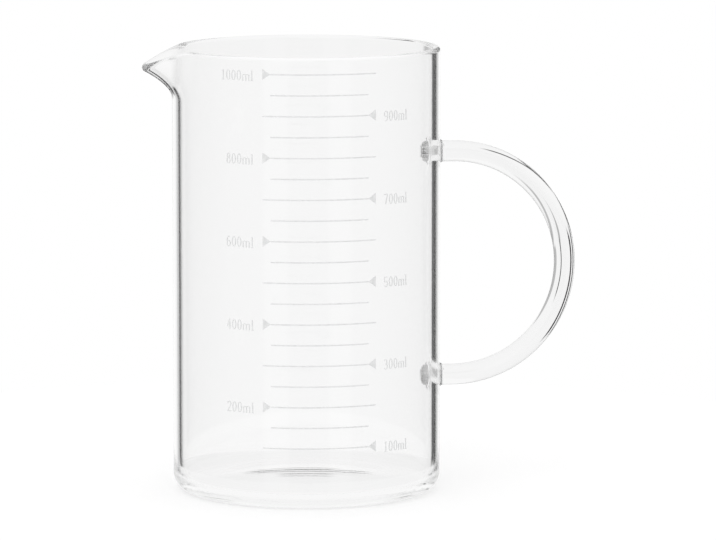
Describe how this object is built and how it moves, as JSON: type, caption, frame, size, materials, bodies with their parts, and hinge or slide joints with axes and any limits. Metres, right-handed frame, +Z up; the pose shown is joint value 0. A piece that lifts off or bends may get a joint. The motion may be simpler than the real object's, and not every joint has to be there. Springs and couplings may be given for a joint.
{
  "type": "measuring jug",
  "caption": "Straight-sided clear glass measuring jug with a pulled pouring lip, a bent glass rod as a C handle and a printed millilitre scale.",
  "frame": {"origin": "on the axis of the round body, in the plane that the jug stands on", "axes": "+Z up along the body's axis, +X towards the handle, -X towards the pouring lip, -Y towards the side that carries the scale"},
  "size_m": [0.1594, 0.0981, 0.1633],
  "materials": {
    "borosilicate_glass": "clear, smooth, flame-polished borosilicate glass",
    "scale_enamel": "pale grey screen-printed enamel, fired on"
  },
  "bodies": {
    "root": {"glass_body": "borosilicate_glass", "handle": "borosilicate_glass", "upper_weld": "borosilicate_glass", "lower_weld": "borosilicate_glass", "line_100": "scale_enamel", "line_150": "scale_enamel", "line_200": "scale_enamel", "line_250": "scale_enamel", "line_300": "scale_enamel", "line_350": "scale_enamel", "line_400": "scale_enamel", "line_450": "scale_enamel", "line_500": "scale_enamel", "line_550": "scale_enamel", "line_600": "scale_enamel", "line_650": "scale_enamel", "line_700": "scale_enamel", "line_750": "scale_enamel", "line_800": "scale_enamel", "line_850": "scale_enamel", "line_900": "scale_enamel", "line_950": "scale_enamel", "line_1000": "scale_enamel", "pointer_100": "scale_enamel", "pointer_200": "scale_enamel", "pointer_300": "scale_enamel", "pointer_400": "scale_enamel", "pointer_500": "scale_enamel", "pointer_600": "scale_enamel", "pointer_700": "scale_enamel", "pointer_800": "scale_enamel", "pointer_900": "scale_enamel", "pointer_1000": "scale_enamel", "figures_100": "scale_enamel", "figures_200": "scale_enamel", "figures_300": "scale_enamel", "figures_400": "scale_enamel", "figures_500": "scale_enamel", "figures_600": "scale_enamel", "figures_700": "scale_enamel", "figures_800": "scale_enamel", "figures_900": "scale_enamel", "figures_1000": "scale_enamel"}
  },
  "joints": []
}
